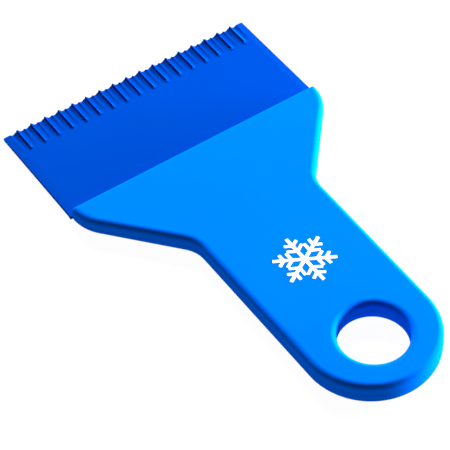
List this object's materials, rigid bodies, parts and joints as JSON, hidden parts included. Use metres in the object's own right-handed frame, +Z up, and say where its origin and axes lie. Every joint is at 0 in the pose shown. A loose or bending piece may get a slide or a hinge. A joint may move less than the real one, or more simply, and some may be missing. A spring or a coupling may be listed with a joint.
{
  "type": "windshield ice scraper",
  "caption": "Flat palm-sized windshield ice scraper: a wide ribbed plastic blade clamped in a hollow two-shell handle with a round hanging hole.",
  "frame": {"origin": "under the middle of the bounding box, on the plane that the handle's back face rests on", "axes": "+Y towards the scraping edge, +X across the blade, +Z up out of the handle's front face"},
  "size_m": [0.1006, 0.168, 0.0088],
  "materials": {
    "handle_plastic": "satin, bright azure blue",
    "blade_plastic": "satin, deep royal blue"
  },
  "bodies": {
    "root": {"blade": "blade_plastic", "handle_lower_shell": "handle_plastic", "handle_upper_shell": "handle_plastic"}
  },
  "joints": []
}
